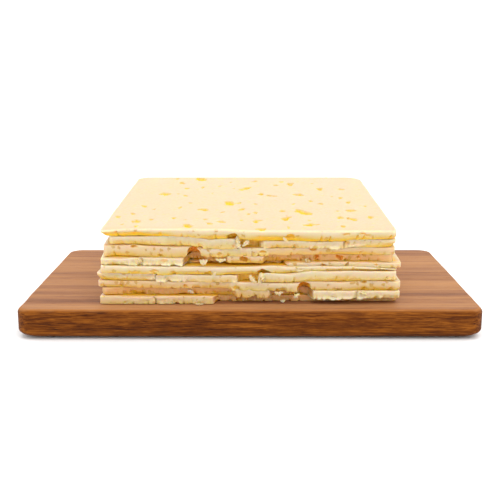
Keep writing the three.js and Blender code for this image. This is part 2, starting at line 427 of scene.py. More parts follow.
def face_heights(plan, x, y):
    """Heights of the lower and the upper face at x and y: a plane from front to back plus the edge's sag.

    The sag fades as exp(-(distance behind the front / reach) squared). The stack's top face also bends down
    at its front lip, by exp(-distance / lip reach).
    """
    m, front, lifts = plan["m"], plan["front"], plan["lifts"]
    across, behind = x - m["x"], y - m["front"]
    even = behind / (m["back"] - m["front"])
    fade = np.exp(-((np.maximum(behind, 0) / SAG_REACH) ** 2))
    rise = lifts[0] + (lifts[1] - lifts[0]) * (across / m["width"] + 0.5)
    low = m["low"][0] + (m["low"][1] - m["low"][0]) * even
    high = m["high"][0] + (m["high"][1] - m["high"][0]) * even
    high = high + fade * (along_edge(across, front["top"]) + rise)
    if plan["number"] > 1:
        low = low + fade * (along_edge(across, front["bottom"]) + rise)
    if plan["number"] == len(LAYERS):
        high = high - LIP_DROP * np.exp(-np.maximum(behind, 0) / LIP_REACH)
    return low, high


plans = []
for number, (node, layer) in enumerate(zip(SLICE_NODES, LAYERS), start=1):
    front = turned_over(FRONTS[layer["row"]]) if layer["turned"] else FRONTS[layer["row"]]
    plan = {"node": node, "number": number, "m": measured[node], "front": front, "lifts": layer["lifts"]}
    plans.append(plan)
print("plans for", plans[0]["node"], "to", plans[-1]["node"])

# %% [markdown]
# ## One slice
#
# The rings start as copies of the outline, each shrunk towards the slice's middle by its inset. Then the
# front edge's own story is told on them: how far it is broken back, where eyes are open, where the seam under
# it has closed again, and the nicks and the fine crumb of a torn edge.
#
# Five marks go along with every point, because the material needs them. `rise` is the height in the wall.
# `hollow` is for the insides of eyes and golden bays: a painted yellow glow, and painted shade where they lie
# deep. `crease` is for the painted ochre shade in the seam between two slices, `deep` for the painted tan shade
# on edges that lie far back, and `torn` for the pale crumb of a ragged edge, with the painted highlights on the
# ends of a wall and on the top slice's lip.

# %% Eyes, and a slice's place on the stack
def push_in(x, height, eyes, seed):
    """How far eyes push an edge in: for each, its reach times the height of a half ball over its oval.

    Noise first moves each place aside, so that no eye is a clean oval.
    """
    wander_x = 0.7 * noise(x, height, 1.6, seed) + 0.3 * noise(x, height, 0.7, seed + 2)
    wander_z = 0.45 * noise(x, height, 1.3, seed + 1)
    x, height = x + wander_x, height + wander_z
    pushes = [np.zeros(np.broadcast(x, height).shape)]
    for eye_x, eye_height, half_width, half_height, reach in eyes:
        away = ((x - eye_x) / half_width) ** 2 + ((height - eye_height) / half_height) ** 2
        pushes.append(reach * np.sqrt(np.clip(1 - away, 0, None)))
    return np.max(pushes, axis=0)


def place_on_stack(m, x, y):
    """The slice's own x and y, turned by its turn and moved to its middle on the stack."""
    cos, sin = math.cos(m["turn"]), math.sin(m["turn"])
    return m["x"] + cos * x - sin * y, (m["front"] + m["back"]) / 2 + sin * x + cos * y


# %% What happened to a front edge
KNIFE_WAVE, KNIFE_CELL = 0.18, 7
SMOOTH_CRUMB, TORN_CRUMB, CRUMB_CELL = 0.05, 0.2, 1.2
NICK_FROM, NICK_GAIN, NICK_DEPTH, NICK_CELL = 0.55, 2.2, 0.9, 1.2
SHUT_FROM, SHUT_TO, SHUT_CELL = -0.05, 0.45, 13


def front_damage(plan, edge_x, height, share, at_front):
    """What the knife and the crumbling did to each point of the front edge.

    setback, push and knife are distances inwards. torn, under and shut go from 0 to 1: how ragged the edge
    is, how much of the undercut it has, and how far the seam below it has closed. nick and ragged are the
    sizes of the small notches and of the loose crumb.
    """
    number, knots = plan["number"], plan["front"]
    torn = along_edge(edge_x, knots["torn"]) * at_front
    bent_x = edge_x + 0.6 * noise(edge_x, height, 1.5, 23 * number) * at_front
    setback = along_edge(bent_x, knots["setback"]) * at_front
    knife = KNIFE_WAVE * rough(edge_x, 0.3 * height, KNIFE_CELL, 3 * number)
    knife = knife + (SMOOTH_CRUMB + TORN_CRUMB * torn) * rough(edge_x, height, CRUMB_CELL, 5 * number)
    nick = np.clip(noise(edge_x, 0, NICK_CELL, 47 * number) - NICK_FROM, 0, 1) * NICK_GAIN
    push = push_in(edge_x, height, knots["eyes"], 7 * number) * at_front
    push = np.maximum(push, NICK_DEPTH * nick * np.clip(1 - share / 0.45, 0, 1) * at_front)
    shut = smooth_step(noise(edge_x, 0, SHUT_CELL, 53 * number), SHUT_FROM, SHUT_TO) * at_front * (number > 1)
    under = np.clip(1 - share / 0.6, 0, 1) ** 2 * (1 - torn) * (0.7 + 0.5 * noise(edge_x, 0, 9, 19 * number))
    under = under * (1 - 0.8 * shut)
    ragged = 0.3 + 0.5 * noise(edge_x, 0, 2.1, 11 * number) + 0.3 * noise(edge_x, 0, 0.8, 12 * number)
    ragged = torn * ragged
    return {
        "setback": setback, "push": push, "knife": knife, "torn": torn,
        "under": under, "shut": shut, "nick": nick, "ragged": ragged,
    }


# %% The marks of a slice
def slice_marks(plan, edge_x, inset, share, rise, damage, at_front):
    """The five marks of each point, from 0 to 1, out of its place in the section and its edge's damage."""
    setback, push, number = damage["setback"], damage["push"], plan["number"]
    # Painted ochre shade in the seam: under the lower edge, on the upper face where the next slice covers it,
    # and in the undercut.
    crease = smooth_step(inset, 0.1, LOW_RADIUS) * (share == 0) * (number > 1)
    crease = crease + smooth_step(inset, 0.8, 2.2) * (share == 1) * (number < len(plans))
    crease = np.maximum(crease, 0.75 * damage["under"] * at_front * (number > 1))
    # Painted tan shade on edges far back; a golden bay gets a painted yellow glow instead.
    deep = np.clip(smooth_step(setback, 0.3, 3.2) + smooth_step(push, 2, 4), 0, 1)
    golden = smooth_step(setback, 2, 4) * plan["front"].get("golden", False)
    # A painted highlight towards the left and right ends of the wall.
    end = np.exp(-(((plan["m"]["width"] / 2 - np.abs(edge_x)) / 4) ** 2)) * (1 - crease)
    crumb = damage["torn"] * np.exp(-((share * 2.5) ** 2)) * (0.5 + 1.2 * damage["ragged"])
    return {
        "rise": rise,
        "hollow": np.maximum(np.clip(push / 0.9, 0, 1), golden),
        "crease": crease,
        "deep": deep * (1 - golden),
        "torn": np.clip(crumb + 0.3 * end, 0, 1) * (1 - deep),
    }


# %% Shape the rings of a slice
BACK_CORNERS, TOP_BACK_CORNERS = (2.0, 3.0), (8.0, 6.0)
UNDERCUT, BOTTOM_RADIUS = 1.0, 0.25
FRONT_FADE = (2, 12)
BAY_REACH, EYE_REACH = 25, 12
RAGGED_REACH = 0.8
PLAIN_INSET, PLAIN_WAVE, PLAIN_GRAIN = 0.12, 0.2, 0.06
CONTACT_GAP = 0.02
MIN_EDGE = 0.5


def slice_rings(plan, counts, crowding=0.0, with_top=True):
    """The rings of one slice, shaped (ring, point, xyz), and its marks, both in millimetres on the stack."""
    m, front, number = plan["m"], plan["front"], plan["number"]
    depth = m["back"] - m["front"]
    back_corners = TOP_BACK_CORNERS if number == len(plans) else BACK_CORNERS
    base = outline(m["width"], depth, (*front["corners"], *back_corners), counts, crowding)
    low_radius, undercut = (LOW_RADIUS, UNDERCUT) if number > 1 else (BOTTOM_RADIUS, 0)
    inset, share, lift = section(low_radius, HIGH_RADIUS, with_top)
    shrink = 1 - inset / (depth / 2)
    x, y = base[:, 0] * shrink, base[:, 1] * shrink
    edge_x = base[:, 0] * np.ones_like(inset)
    at_front = (1 - smooth_step(base[:, 1] + depth / 2, *FRONT_FADE)) * np.ones_like(inset)

    # Where the edge would be if nothing were missing, so that the eyes know their height in it.
    low, high = face_heights(plan, *place_on_stack(m, x, y))
    height = low * (1 - share) + high * share + lift - m["low"][0]
    damage = front_damage(plan, edge_x, height, share, at_front)

    # Front edge: broken back, eyes and nicks cut open, and the crumb that the knife leaves.
    y = y + (damage["setback"] + 0.2) * np.clip(1 - inset / BAY_REACH, 0, 1)
    inwards = damage["push"] + (damage["knife"] + undercut * damage["under"]) * at_front
    y = y + inwards * np.clip(1 - inset / EYE_REACH, 0, 1)
    lower_lip = np.exp(-((share * 4) ** 2) - (inset / 0.5) ** 2)
    y = y - RAGGED_REACH * np.clip(damage["ragged"], 0, 1) * lower_lip * at_front

    # Sides and back: plain cuts, drawn in a little and uneven by parts of a millimetre.
    around = base[:, 0] + base[:, 1]
    drift = PLAIN_INSET + PLAIN_WAVE * rough(around, 10 * number, 23, 13 * number)
    drift = (drift + PLAIN_GRAIN * rough(around, height, 2.3, 17 * number)) * (1 - at_front)
    x = x * (1 - drift / (m["width"] / 2))
    y = y - np.where(base[:, 1] > depth / 2 - 3, drift, 0)
    x = x * (1 - m["narrowing"] / m["width"] * (base[:, 1] + depth / 2) / depth)

    # Heights: the slice's own faces at its edge, but a little inside it rests on the slice below.
    x, y = place_on_stack(m, x, y)
    low, high = face_heights(plan, x, y)
    shut = damage["shut"]
    edge_only = np.exp(-((inset / 0.9) ** 2)) * at_front
    if number > 1:
        below = face_heights(plans[number - 2], x, y)[1]
        shut = shut * (1 - smooth_step(np.abs(low - below), 0.5, 1.1))
        low = low + np.maximum(smooth_step(inset, 0.2, 1.6), shut) * (below - low + CONTACT_GAP)
        low = low + (0.22 * rough(edge_x, 0, 9, 43 * number) + 0.5 * damage["nick"]) * edge_only
        low = low - 0.9 * np.clip(damage["ragged"], -0.3, 1) * edge_only
    if number < len(plans):
        high = high + 0.2 * rough(edge_x, 0, 9, 41 * number) * edge_only
    high = np.maximum(high, low + MIN_EDGE)
    thin = np.clip((high - low) / (2.2 * (LOW_RADIUS + HIGH_RADIUS)), 0, 1)
    z = low * (1 - share) + high * share + lift * thin * np.where(lift > 0, 1 - 0.75 * shut, 1)
    rise = np.clip((z - low) / (high - low), 0, 1)
    marks = slice_marks(plan, edge_x, inset, share, rise, damage, at_front)
    return np.stack([x, y, z], axis=-1), marks


# %% Make the nine lower slices
FRONT_COUNT, SIDE_COUNT = 330, 170


def make_slice(plan):
    """A slice as a closed piece of rings."""
    rings, marks = slice_rings(plan, (FRONT_COUNT, SIDE_COUNT))
    piece = close_rings("cheese_" + plan["node"], rings, marks)
    print(piece.name, len(piece.data.polygons), "faces")
    return piece


slices = [make_slice(plan) for plan in plans[:-1]]

# %% [markdown]
# ## The top slice
#
# Only the top slice shows its whole face, so it gets its points where they count: a fine grid over the face,
# whose border is the last ring of the edge. The grid is stretched between its four borders as cloth is in a
# frame. Eyes are then sunk into it. Cheese eyes are bubbles cut open, so each is an oval with a rounded
# floor. But its rim wanders, because the curd is uneven, and the cutting drags it longer towards the back.

# %% Places and sizes of the eyes
# Each large eye: distance right of the middle and behind the front, size across and to the back, turn in
# degrees. Each small eye: the two distances only.
LARGE_EYES = [
    (-23.5, 97, 4.6, 6, 15), (-32.5, 88, 3, 5, 25), (-38.8, 63.5, 6.5, 4, -20), (-22.4, 78, 1.6, 3.5, 0),
    (-1.6, 76, 3.8, 9, -25), (20.1, 86, 3.6, 5, 10), (5.5, 64, 3, 3.6, 20), (10.5, 60, 6.2, 2.4, -30),
    (23.5, 62, 4.6, 5, 10), (34, 75, 3.3, 4, -20), (-20.5, 34, 4.6, 4.4, -10), (-8.6, 45.5, 4.8, 8.5, 10),
    (-46.7, 13, 4.4, 3.4, 0), (-40, 16.5, 2, 3.2, 0), (-24.5, 5, 3.4, 5.4, 45), (-11.3, 12, 2.4, 4, 35),
    (3.6, 14.5, 2.8, 5.6, -35), (15.7, 18.8, 3.2, 7, -25), (24.2, 29, 7, 6.4, 0), (25.2, 8.2, 6, 2.6, 20),
    (38.3, 20, 2.6, 4.2, 0), (44.1, 31.5, 4.8, 3.4, 0), (42.5, 17.3, 3.2, 6, 35), (50.8, 20.3, 2.2, 4.6, 0),
    (5, 1.4, 3.8, 2.4, 0), (44.7, 47.5, 2.6, 3, 0), (14.5, 31, 2.4, 4, 0),
]
SMALL_EYES = [
    (-36, 98), (-30, 76), (-14, 81), (-9, 90), (-7, 76), (-33, 64), (-29, 60), (-17, 66), (-26, 46), (-4, 46),
    (-46, 40), (-41, 34), (-30, 37), (-3, 34), (-49, 26), (-55, 22), (-11, 29), (0, 26), (-31, 19), (-26, 16),
    (-18, 17), (-3, 15), (-16, 9), (-51, 8), (-45, 4), (3, 92), (39, 101), (16, 91), (13, 83), (31, 87),
    (44, 74), (38, 58), (42, 56), (28, 50), (3, 44), (20, 44), (32, 44), (51, 40), (38, 31), (3, 28),
    (16, 4), (38, 6), (25, 15),
]
SMALL_ACROSS, SMALL_STRETCH, SMALL_TURN = (1.0, 2.1), (1.3, 2.2), (-40, 40)
EYE_DEPTH_SHARE, EYE_DEEPEST = 0.5, 1.7


def all_eyes(seed=5):
    """The large eyes as listed, and the small ones with seeded sizes and turns."""
    random = np.random.default_rng(seed)
    across = random.uniform(*SMALL_ACROSS, len(SMALL_EYES))
    deep = across * random.uniform(*SMALL_STRETCH, len(SMALL_EYES))
    turns = random.uniform(*SMALL_TURN, len(SMALL_EYES))
    sizes = zip(across, deep, turns)
    return LARGE_EYES + [(*place, *size) for place, size in zip(SMALL_EYES, sizes)]


EYES = all_eyes()
print(len(EYES), "eyes, the widest", max(eye[2] for eye in EYES), "mm across")

# %% [markdown]
# An eye is a half ball squashed into an oval. For a true half ball, the depth is the square root of one minus
# the squared distance from its middle. A power a little below the root's one half gives steeper walls at the
# rim and a flatter floor. The distance is taken at a point that noise has pushed aside, so the rim is never a
# clean oval.

# %% Sink eyes into a face
EYE_ROUNDNESS = 0.4
WANDER_ACROSS, WANDER_BACK, WANDER_CELL = 0.28, 0.4, 0.8


def sink(x, y, eyes, seed):
    """How deep eyes sink a face: the most of depth * (1 - r squared) ^ roundness, r being 1 at an eye's rim."""
    depths = [np.zeros(x.shape)]
    for k, (eye_x, eye_y, across, deep, turn) in enumerate(eyes):
        cos, sin = math.cos(math.radians(turn)), math.sin(math.radians(turn))
        size = min(across, deep)
        dx = x - eye_x + WANDER_ACROSS * size * rough(x, y, WANDER_CELL * size, seed + k)
        dy = y - eye_y + WANDER_BACK * size * rough(x, y, WANDER_CELL * size, seed + k + 50)
        away = ((cos * dx + sin * dy) / (across / 2)) ** 2 + ((cos * dy - sin * dx) / (deep / 2)) ** 2
        depths.append(min(EYE_DEPTH_SHARE * size, EYE_DEEPEST) * np.clip(1 - away, 0, None) ** EYE_ROUNDNESS)
    return np.max(depths, axis=0)


first_depth = sink(np.array([EYES[0][0]]), np.array([EYES[0][1]]), EYES[:1], 300)
print("the first eye is", first_depth.round(2), "mm deep in its middle")


# %% [markdown]
# The top slice has one more habit of its own: its front lip catches the light, so a painted highlight lies
# along it, on the face and on the rim at the front. The mark `torn` carries that too.

# %% Stretch a grid over the face
TOP_COUNTS = (280, 230)
TOP_CROWDING = 0.45
# How strong the painted highlight on the top slice's front lip is, how wide, and how far back it reaches on the
# rim.
LIP_HIGHLIGHT, LIP_WIDTH, LIP_ZONE = 0.7, 1.0, 4
FACE_SEED = 300
FULL_HOLLOW = 0.4


def stretched_grid(front, right, back, left):
    """A grid between four borders, which all run to the right or to the back.

    At (u, v) it is the mix of front and back by v, plus the mix of left and right by u, minus the mix of the
    four corners by both.
    """
    u = np.linspace(0, 1, len(front))[None, :, None]
    length = np.linalg.norm(np.diff(left, axis=0), axis=1)
    v = (np.concatenate([[0], np.cumsum(length)]) / length.sum())[:, None, None]
    across = (1 - v) * front[None] + v * back[None]
    along = (1 - u) * left[:, None] + u * right[:, None]
    corners = (1 - v) * ((1 - u) * front[0] + u * front[-1]) + v * ((1 - u) * back[0] + u * back[-1])
    return across + along - corners


def grid_table(nx, ny, rim, inner):
    """Point numbers of the grid, row by row from the front: rim numbers on its border, inner ones inside."""
    table = np.empty((ny + 1, nx + 1), int)
    table[0], table[:, -1] = rim + np.arange(nx + 1), rim + nx + np.arange(ny + 1)
    table[-1] = rim + nx + ny + np.arange(nx + 1)[::-1]
    table[1:, 0] = rim + 2 * nx + ny + np.arange(ny)[::-1]
    table[1:-1, 1:-1] = inner + np.arange((nx - 1) * (ny - 1)).reshape(ny - 1, nx - 1)
    return table


def make_top_slice(plan):
    """The top slice: rings up to its upper edge, and a grid with eyes over its face."""
    m = plan["m"]
    nx, ny = TOP_COUNTS
    rings, marks = slice_rings(plan, TOP_COUNTS, TOP_CROWDING, with_top=False)
    ring_count, count, _ = rings.shape
    around = np.concatenate([rings[-1], rings[-1][:1]])
    grid = stretched_grid(
        around[: nx + 1],
        around[nx : nx + ny + 1],
        around[nx + ny : 2 * nx + ny + 1][::-1],
        around[2 * nx + ny :][::-1],
    )
    inner = grid[1:-1, 1:-1]
    inner[..., 2] = face_heights(plan, inner[..., 0], inner[..., 1])[1]

    # The eyes are sunk into the face and into the upper edge alike.
    edge = rings[-len(ARC) :]
    depths = sink(inner[..., 0] - m["x"], inner[..., 1] - m["front"], EYES, FACE_SEED)
    edge_depths = sink(edge[..., 0] - m["x"], edge[..., 1] - m["front"], EYES, FACE_SEED)
    inner[..., 2] -= depths
    edge[..., 2] -= edge_depths
    # A painted highlight along the front lip of the face.
    lip = LIP_HIGHLIGHT * np.exp(-(((inner[..., 1] - m["front"]) / LIP_WIDTH) ** 2))
    edge_hollow, edge_torn = marks["hollow"][-len(ARC) :], marks["torn"][-len(ARC) :]
    at_front = edge[..., 1] < m["front"] + LIP_ZONE
    edge_hollow[:] = np.maximum(edge_hollow, np.clip(edge_depths / FULL_HOLLOW, 0, 1))
    # The same painted highlight on the rim at the front.
    edge_torn[:] = np.maximum(edge_torn, LIP_HIGHLIGHT * at_front * (1 - edge_hollow))

    # Points: all rings, the grid's inner points, and the pole under the slice.
    first_inner = ring_count * count
    pole = first_inner + inner[..., 0].size
    table = grid_table(nx, ny, (ring_count - 1) * count, first_inner)
    quads = np.stack([table[:-1, :-1], table[:-1, 1:], table[1:, 1:], table[1:, :-1]], axis=-1)
    faces = ring_faces(ring_count, count).tolist() + quads.reshape(-1, 4).tolist()
    faces += fan_faces(0, count, pole, upward=False).tolist()
    points = np.concatenate([rings.reshape(-1, 3), inner.reshape(-1, 3), rings[0].mean(axis=0)[None]])
    hollow = np.clip(depths / FULL_HOLLOW, 0, 1)
    inner_marks = {"rise": 1 + 0 * lip, "hollow": hollow, "crease": 0 * lip, "deep": 0 * lip}
    inner_marks["torn"] = lip * (1 - hollow)
    whole = {mark: np.concatenate([marks[mark].ravel(), inner_marks[mark].ravel(), [0]]) for mark in marks}
    return put_mesh("cheese_" + plan["node"], points, faces, whole)


slices.append(make_top_slice(plans[-1]))
print(slices[-1].name, len(slices[-1].data.polygons), "faces")

# %% [markdown]
# ## Shreds and crumbs
#
# Where the knife dragged the curd, shreds still hang from the edges and crumbs stick to them. Each is a small
# closed tube along a bent path, thick in the middle and tapering to both ends, and made lumpy by noise.

# %% Make the shreds and crumbs
# Each: three points of the path, as distance right of the stack's middle, behind its front and above the
# board, and the thickness at its start, middle and end.
SHREDS = [
    ((-4.6, 2.0, 28.6), (-4.9, 0.9, 25.8), (-3.4, 0.6, 23.2), (1.6, 2.0, 1.8)),
    ((-0.4, 2.0, 26.6), (-1.6, 0.9, 25.6), (-3.2, 0.6, 24.2), (1.5, 1.5, 1.4)),
    ((13.2, 0.5, 28.0), (14.0, 0.0, 27.0), (15.0, 0.3, 25.9), (0.8, 1.0, 0.8)),
    ((4.2, 1.5, 13.4), (4.4, 0.7, 11.2), (3.2, 0.5, 9.2), (1.5, 2.0, 1.6)),
    ((0.0, 1.6, 12.4), (0.9, 0.7, 10.9), (2.6, 0.5, 9.6), (1.3, 1.5, 1.3)),
    ((-13.8, 0.6, 13.8), (-14.3, 0.3, 12.9), (-15.4, 0.5, 11.7), (0.7, 1.0, 0.7)),
    ((-20.2, 1.8, 18.6), (-18.6, 1.2, 17.9), (-17.0, 1.8, 18.7), (1.2, 2.0, 1.2)),
    ((-13.8, 2.0, 18.9), (-11.6, 1.5, 18.5), (-9.6, 2.0, 18.8), (0.9, 1.3, 1.0)),
    ((-46.0, 1.1, 19.1), (-44.6, 0.7, 18.6), (-43.2, 1.0, 17.8), (0.8, 1.4, 1.0)),
    ((18.2, 1.4, 14.6), (19.8, 1.1, 14.3), (21.4, 1.4, 14.6), (0.6, 0.9, 0.7)),
    ((9.8, 1.6, 5.2), (11.6, 1.1, 4.9), (13.4, 1.6, 5.3), (0.9, 1.4, 1.0)),
    ((17.6, 1.6, 3.1), (18.6, 1.0, 3.7), (20.0, 1.7, 4.7), (1.1, 1.7, 1.0)),
    ((12.2, 3.0, 1.5), (13.2, 2.5, 1.2), (14.4, 3.0, 1.6), (0.7, 1.0, 0.7)),
    ((-22.2, 0.6, 0.6), (-20.4, 0.3, 0.5), (-18.6, 0.6, 0.6), (0.5, 0.7, 0.5)),
    ((44.0, 1.0, 4.8), (45.4, 0.6, 5.1), (46.8, 1.1, 4.3), (1.0, 1.5, 1.0)),
    ((-25.2, 4.8, 5.4), (-24.0, 4.3, 4.6), (-23.0, 4.8, 4.1), (0.8, 1.3, 0.9)),
    ((22.0, 3.7, 18.5), (23.0, 3.2, 17.9), (24.2, 3.7, 17.5), (0.8, 1.3, 0.9)),
]
SHRED_ORIGIN = np.array([0, min(m["front"] for m in measured.values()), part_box("serving_board")[1][2] / MM])
SHRED_RINGS, SHRED_POINTS = 26, 28
SHRED_TAPER, SHRED_FLATNESS = 0.35, 0.75
THINNEST, THICKEST = 0.35, 1.6
SHRED_RISE = 0.55


def make_shred(number, start, bend, end, thickness):
    """A lumpy tube: its middle line is a parabola through the bend, and circles of changing size ride on it.

    The middle line is (1-t)^2 start + 2t(1-t) knee + t^2 end, and the radius follows a power of a half sine
    between the thicknesses, with noise on it. Each circle is flattened a little from front to back. It is
    walked backwards, because only then is it counter-clockwise as seen from the end, with its faces outwards.
    """
    start, bend, end = (np.array(point) + SHRED_ORIGIN for point in (start, bend, end))
    knee = 2 * bend - (start + end) / 2
    t = np.linspace(0.02, 0.98, SHRED_RINGS)[:, None]
    line = (1 - t) ** 2 * start + 2 * t * (1 - t) * knee + t**2 * end
    ahead = np.gradient(line, axis=0)
    ahead /= np.linalg.norm(ahead, axis=1, keepdims=True)
    across = np.cross(ahead, (0, 1, 0))
    across /= np.linalg.norm(across, axis=1, keepdims=True)
    outward = np.cross(across, ahead)
    turn = -np.linspace(0, 2 * math.pi, SHRED_POINTS, endpoint=False)
    radius = np.interp(t[:, 0], (0, 0.5, 1), thickness) / 2 * np.sin(math.pi * t[:, 0]) ** SHRED_TAPER
    lumps = 0.95 + 0.6 * rough(4 * t, 0.9 * np.cos(turn), 0.5, 90 + number)
    lumps = lumps + 0.4 * noise(9 * t, 2 * np.sin(turn), 0.7, number)
    size = radius[:, None] * np.clip(lumps, THINNEST, THICKEST)
    across_part = (size * np.cos(turn))[..., None] * across[:, None]
    outward_part = (SHRED_FLATNESS * size * np.sin(turn))[..., None] * outward[:, None]
    rings = line[:, None] + across_part + outward_part
    pale = 0.08 + 0.25 * noise(5 * t, np.cos(turn), 0.8, 60 + number)
    none = 0 * pale
    marks = {"rise": SHRED_RISE + none, "hollow": none, "crease": none, "deep": none}
    marks["torn"] = np.clip(pale, 0, 1)
    return close_rings(f"cheese_shred_{number:02d}", rings, marks)


shreds = [make_shred(number, *shred) for number, shred in enumerate(SHREDS, start=1)]
print(len(shreds), "shreds and crumbs")

# %% [markdown]
# ## The board
#
# The board is one plank with rounded corners. Its upper edge is eased with a small round and its lower edge
# with a larger one, so that fingers can get under it. A profile is carried round the outline: the
# underside, the large round, the upright side, the small round and the upper face. The mark `side` is 1 on
# the upright side and 0 on the upper face; by it the material paints shade on the side and a highlight on the
# small round.

# %% Make the board
BOARD_CORNER = 5.5
UPPER_ROUND = 1.7
LOWER_ROUND = (7.5, 3.8)
BOARD_INSETS = np.array([52, 40, 30, 22, 16, 11, 7, 4, 2, 0.8])
BOARD_ARC = np.linspace(0, math.pi / 2, 11)
BOARD_COUNTS = (240, 160)
BOARD_WEAR, WEAR_CELL, WEAR_SEED = 0.25, 14, 81
# How much of the painted highlight the upright corners get.
CORNER_HIGHLIGHT = 0.18


def make_board(node):
    """The board as rings: each is the outline drawn in by its inset, at its height in the profile.

    The upper round is worn unevenly: noise draws it in by parts of a millimetre.
    """
    low, high = (np.array(corner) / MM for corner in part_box(node))
    width, depth, thickness = high - low
    base = outline(width, depth, (BOARD_CORNER,) * 4, BOARD_COUNTS)
    run, rise = LOWER_ROUND
    wall = np.linspace(rise, thickness - UPPER_ROUND, 10)[1:-1]
    flat, arc = 0 * BOARD_INSETS, BOARD_ARC
    inset = [run + BOARD_INSETS, run * (1 - np.sin(arc)), 0 * wall, UPPER_ROUND * (1 - np.cos(arc))]
    inset = np.concatenate([*inset, UPPER_ROUND + BOARD_INSETS[::-1]])[:, None]
    height = [flat, rise * (1 - np.cos(arc)), wall, thickness - UPPER_ROUND * (1 - np.sin(arc))]
    height = np.concatenate([*height, flat + thickness])[:, None]
    # The mark by which the material paints shade on the side: 1 there, 0 on the top, falling across the small
    # round.
    on_side = [flat + 1, 0 * arc + 1, 0 * wall + 1, 1 - arc / arc[-1], flat]
    on_side = np.concatenate(on_side)[:, None] * np.ones(len(base))
    # The upright corners get the painted highlight of the upper round too, so the mark is lower there.
    past_x = np.clip((np.abs(base[:, 0]) - width / 2) / BOARD_CORNER + 1, 0, 1)
    past_y = np.clip((np.abs(base[:, 1]) - depth / 2) / BOARD_CORNER + 1, 0, 1)
    on_side = on_side * (1 - CORNER_HIGHLIGHT * smooth_step(past_x * past_y, 0.1, 0.5))
    wear = BOARD_WEAR * (0.5 + 0.5 * rough(base[:, 0], base[:, 1], WEAR_CELL, WEAR_SEED))
    worn = wear * np.clip(4 * on_side * (1 - on_side), 0, 1)
    x = base[:, 0] * (1 - (inset + worn) / (width / 2))
    y = base[:, 1] * (1 - (inset + worn) / (depth / 2))
    rings = np.stack([x, y, height * np.ones_like(x)], axis=-1)
    return close_rings("wooden_board", rings, {"side": on_side})


board = make_board("serving_board")
print(board.name, len(board.data.polygons), "faces")

# %% [markdown]
# ## Building materials
#
# A material is a tree of small nodes. These helpers add one node at a time and wire its inputs, so that the
# materials below read from top to bottom: where are we, what pattern is there, what colour does it give.

# %% Helpers for node trees
MM_PER_METRE = (1000, 1000, 1000)


def new_material(name):
    """A fresh material, its node tree and its shader."""
    material = bpy.data.materials.new(name)
    material.use_nodes = True
    return material, material.node_tree, material.node_tree.nodes["Principled BSDF"]


def add_node(tree, kind, inputs, **settings):
    """Add a node with its settings, and give each input a constant or a link from another node's output."""
    node = tree.nodes.new(kind)
    for setting, value in settings.items():
        setattr(node, setting, value)
    for socket, value in inputs.items():
        if isinstance(value, bpy.types.NodeSocket):
            tree.links.new(value, node.inputs[socket])
        else:
            node.inputs[socket].default_value = value
    return node


def read_mark(tree, mark):
    """The value of a mark at the point that is shaded."""
    return add_node(tree, "ShaderNodeAttribute", {}, attribute_name=mark).outputs["Fac"]


def place_mm(tree, scale=(1, 1, 1)):
    """The object's own coordinates in millimetres, each axis multiplied by its scale."""
    place = add_node(tree, "ShaderNodeTexCoord", {}).outputs["Object"]
    scale = tuple(a * b for a, b in zip(scale, MM_PER_METRE))
    return add_node(tree, "ShaderNodeMapping", {"Vector": place, "Scale": scale}).outputs["Vector"]


def cloud(tree, vector, scale, detail=2, distortion=0, roughness=0.5):
    """Soft noise from 0 to 1. The roughness is how much each finer layer adds to it."""
    inputs = {"Vector": vector, "Scale": scale, "Detail": detail}
    inputs |= {"Distortion": distortion, "Roughness": roughness}
    return add_node(tree, "ShaderNodeTexNoise", inputs).outputs["Fac"]


def remap(tree, value, start, end, low=0, high=1):
    """The value stretched so that start becomes low and end becomes high, and cut off outside."""
    inputs = {"Value": value, "From Min": start, "From Max": end, "To Min": low, "To Max": high}
    return add_node(tree, "ShaderNodeMapRange", inputs, clamp=True).outputs["Result"]


def combine(tree, operation, first, second):
    """One number from two, by the named operation."""
    node = add_node(tree, "ShaderNodeMath", {}, operation=operation)
    for socket, value in zip(node.inputs, (first, second)):
        if isinstance(value, bpy.types.NodeSocket):
            tree.links.new(value, socket)
        else:
            socket.default_value = value
    return node.outputs[0]


def blend(tree, factor, first, second):
    """A colour between two: the first where the factor is 0 and the second where it is 1."""
    inputs = {"Factor": factor, "A": first, "B": second}
    return add_node(tree, "ShaderNodeMix", inputs, data_type="RGBA").outputs["Result"]


def colour_ramp(tree, value, stops):
    """A colour read from stops of (value, colour)."""
    node = add_node(tree, "ShaderNodeValToRGB", {"Fac": value})
    elements = node.color_ramp.elements
    for element, (position, colour) in zip([elements[0], elements[1]], (stops[0], stops[-1])):
        element.position, element.color = position, (*colour, 1)
    for position, colour in stops[1:-1]:
        elements.new(position).color = (*colour, 1)
    return node.outputs["Color"]


# %% [markdown]
# ## Cheese
#
# Light goes some way into cheese and comes out yellower, because the blue is soaked up first. So creases and
# holes glow in deep yellow instead of going grey. The shader's own subsurface scattering does part of that,
# and the rest is painted into the colour by the marks: the wall of a slice goes from painted ochre shade at its
# lower edge to cream with a painted highlight at its upper round, seams get painted ochre shade, eyes a painted
# yellow glow and painted shade where they lie deep, edges that lie far back painted tan shade, and the wall
# ends and the top slice's lip painted highlights. Torn crumb is nearly white. Tiny eyes too small to shape are
# scattered through the whole of it as specks, with painted shade inside them in the walls.

# %% Cheese material
# Painted shade low in the wall, a painted highlight on its upper round near 0.93, the face's colour at 1.
CHEESE_SHADE_AND_HIGHLIGHT_BY_RISE = [
    (0.0, (0.60, 0.365, 0.03)),
    (0.22, (0.575, 0.42, 0.12)),
    (0.5, (0.57, 0.46, 0.25)),
    (0.8, (0.61, 0.52, 0.36)),
    (0.93, (0.645, 0.565, 0.42)),
    (1.0, (0.605, 0.452, 0.268)),
]
PALE_PINK = (0.61, 0.465, 0.31, 1)
# Painted tan shade on edges that lie far back.
RECESS_SHADE_TAN = (0.60, 0.33, 0.12, 1)
